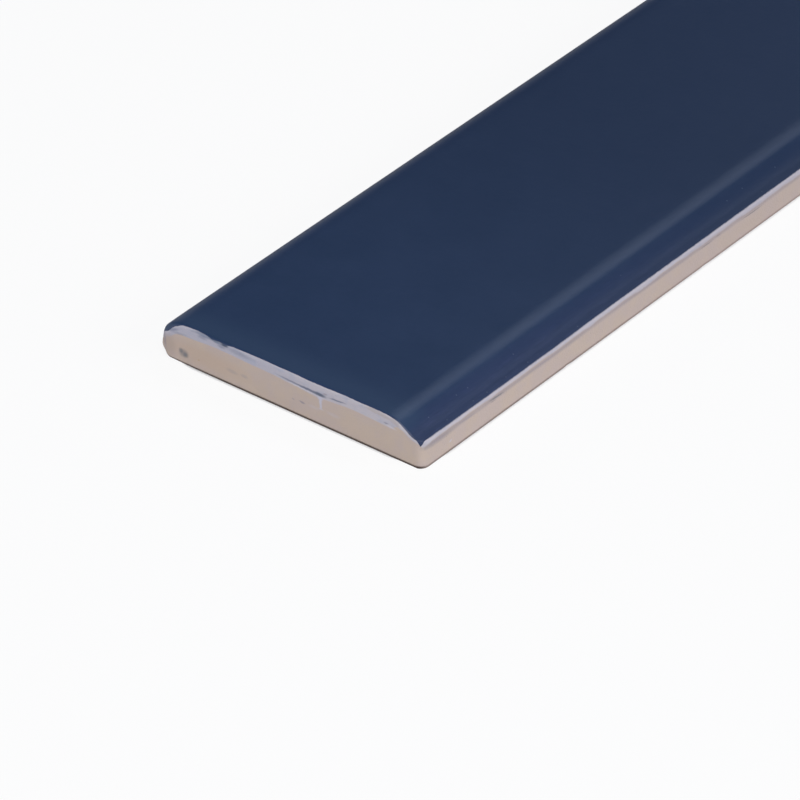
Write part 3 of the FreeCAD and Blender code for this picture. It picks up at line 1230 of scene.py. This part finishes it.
SIDE_MARKS = [
    # The first three rows, and the long mauve rows further down, at about 3.8 mm high, are painted
    # shade along the line below the slip.
    Mark(-146.5, 3.62, 3.80, 0.50, -1.0, CLAY_SHADE_LINE, 0.60),
    Mark(-146.5, 3.80, 2.00, 0.20, -2.0, MAUVE, 0.50),
    Mark(-139.5, 3.72, 2.10, 0.20, -3.0, MAUVE, 0.45),
    Mark(-132.4, 3.75, 1.60, 0.18, -4.0, GREY, 0.75),
    Mark(-133.2, 3.40, 0.60, 0.10, 0.0, GREY, 0.40),
    Mark(-143.4, 1.88, 0.30, 0.16, 30.0, WHITISH, 0.80),
    Mark(-121.0, 3.80, 7.00, 0.16, 0.5, MAUVE, 0.35),
    Mark(-95.0, 3.90, 11.0, 0.16, -0.5, MAUVE, 0.30),
    Mark(-79.6, 3.64, 1.40, 0.12, 0.0, GREY, 0.55),
    Mark(-76.5, 3.80, 0.50, 0.10, 0.0, GREY, 0.55),
    Mark(-67.5, 3.50, 2.40, 0.12, -1.0, GREY, 0.65),
]
print("marks on the near end", len(END_MARKS), "and on the lip's side", len(SIDE_MARKS))

# %% [markdown]
# ## Soft egg shapes
# A mark is a soft egg in space. A Mapping node of the Texture kind moves, turns and stretches
# the coordinates so that the egg becomes a ball of radius 1, and the distance from its middle
# gives the mask. Because the egg is only a millimetre deep it marks the one side that it
# touches. A little noise shakes the coordinates first, so that no mark has a smooth outline.

# %% Soft marks on the bare edges
MARK_DEPTH = 1.0
EGG_CORE = 0.35
EGG_RIM = 1.5
SMUDGE_SCALE = 1.6
SMUDGE_REACH = 0.22


def shaken(vector):
    """The same places, each moved a little by noise."""
    noise_inputs = {"Vector": vector, "Scale": SMUDGE_SCALE, "Detail": 2.0}
    shake = Wire.node(tree, "TexNoise", {}, noise_inputs, output="Color")
    less_half = {0: shake, 1: (0.5, 0.5, 0.5)}
    shake = Wire.node(tree, "VectorMath", {"operation": "SUBTRACT"}, less_half)
    shake = Wire.node(tree, "VectorMath", {"operation": "SCALE"}, {0: shake, "Scale": SMUDGE_REACH})
    return Wire.node(tree, "VectorMath", {"operation": "ADD"}, {0: vector, 1: shake})


def egg(centre, turn, size):
    """A soft mask that is 1 in the middle of an egg shape and 0 outside it."""
    into_ball = Wire.node(
        tree, "Mapping", {"vector_type": "TEXTURE"},
        {"Vector": smudged, "Location": centre, "Rotation": turn, "Scale": size},
    )
    distance = Wire.node(tree, "VectorMath", {"operation": "LENGTH"}, {0: into_ball}, output="Value")
    return 1 - step(distance, EGG_CORE, EGG_RIM)


smudged = shaken(place)
edge_colour = blend(clay, slip, buff)
for mark in END_MARKS:
    centre = (mark.along, -HALF_LENGTH, mark.up)
    turn = (0.0, -math.radians(mark.tilt), 0.0)
    mask = egg(centre, turn, (mark.length, MARK_DEPTH, mark.height))
    edge_colour = blend(mask * mark.strength, edge_colour, mark.colour)
for mark in SIDE_MARKS:
    centre = (HALF_WIDTH, mark.along, mark.up)
    turn = (math.radians(mark.tilt), 0.0, 0.0)
    mask = egg(centre, turn, (MARK_DEPTH, mark.length, mark.height))
    edge_colour = blend(mask * mark.strength, edge_colour, mark.colour)
print("nodes with the marks", len(tree.nodes))

# %% [markdown]
# ## Surface relief and shine
# The glaze has the faint orange peel of melted glass, the clay is gritty, and the glaze ends in
# a low step. These are too fine for the mesh, so a Bump node bends the light instead. Its
# height is given in millimetres, and its distance of one millimetre makes that true to scale.
# Glaze is fairly smooth but duller on the bullnose and in the cove, slip is dull and bare clay
# is rough.

# %% Relief, roughness and the finished material
PEEL_HEIGHT = 0.012
DIMPLE_HEIGHT = 0.03
GRIT_HEIGHT = 0.05
GLAZE_STEP = 0.08
GLAZE_ROUGHNESS = 0.37
STEP_ROUGHNESS = 0.52
SLIP_ROUGHNESS = 0.75
CLAY_ROUGHNESS = 0.92
CLOUDED = 0.06

peel = noise_at(place, 1.1, 2.0) * PEEL_HEIGHT
dimples = noise_at(place, 0.28, 1.0) * DIMPLE_HEIGHT
grit = grain * GRIT_HEIGHT
height = (peel + dimples + GLAZE_STEP) * (1 - bare) + grit * bare * (clay * 0.7 + 0.3)
relief = Wire.node(tree, "Bump", {}, {"Strength": 1.0, "Distance": MM, "Height": height})
dull = SLIP_ROUGHNESS + (CLAY_ROUGHNESS - SLIP_ROUGHNESS) * clay
soft = (STEP_ROUGHNESS - GLAZE_ROUGHNESS) * (in_cove + on_bullnose)
shine = GLAZE_ROUGHNESS + soft + CLOUDED * (cloud - 0.5)
roughness = shine * (1 - bare) + dull * bare

surface = Wire.node(
    tree, "BsdfPrincipled", {},
    {
        "Base Color": blend(bare, navy, edge_colour),
        "Roughness": roughness,
        "Normal": relief,
        "IOR": 1.5,
    },
)
to_output(tree, "Material", surface)
print("material", finish.name, "has", len(tree.nodes), "nodes")

# %% [markdown]
# ## Into the frame
# The mesh becomes one piece that stands for the CAD tile, rides on the object's one body and
# takes the material made above.

# %% Place the tile
mesh.materials.clear()
mesh.materials.append(finish)
mesh.polygons.foreach_set("material_index", [0] * len(mesh.polygons))
for polygon in mesh.polygons:
    polygon.use_smooth = True
tile = bpy.data.objects.new("glazed_wall_tile", mesh)
scene.collection.objects.link(tile)
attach(tile, "root")
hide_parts("wall_tile")
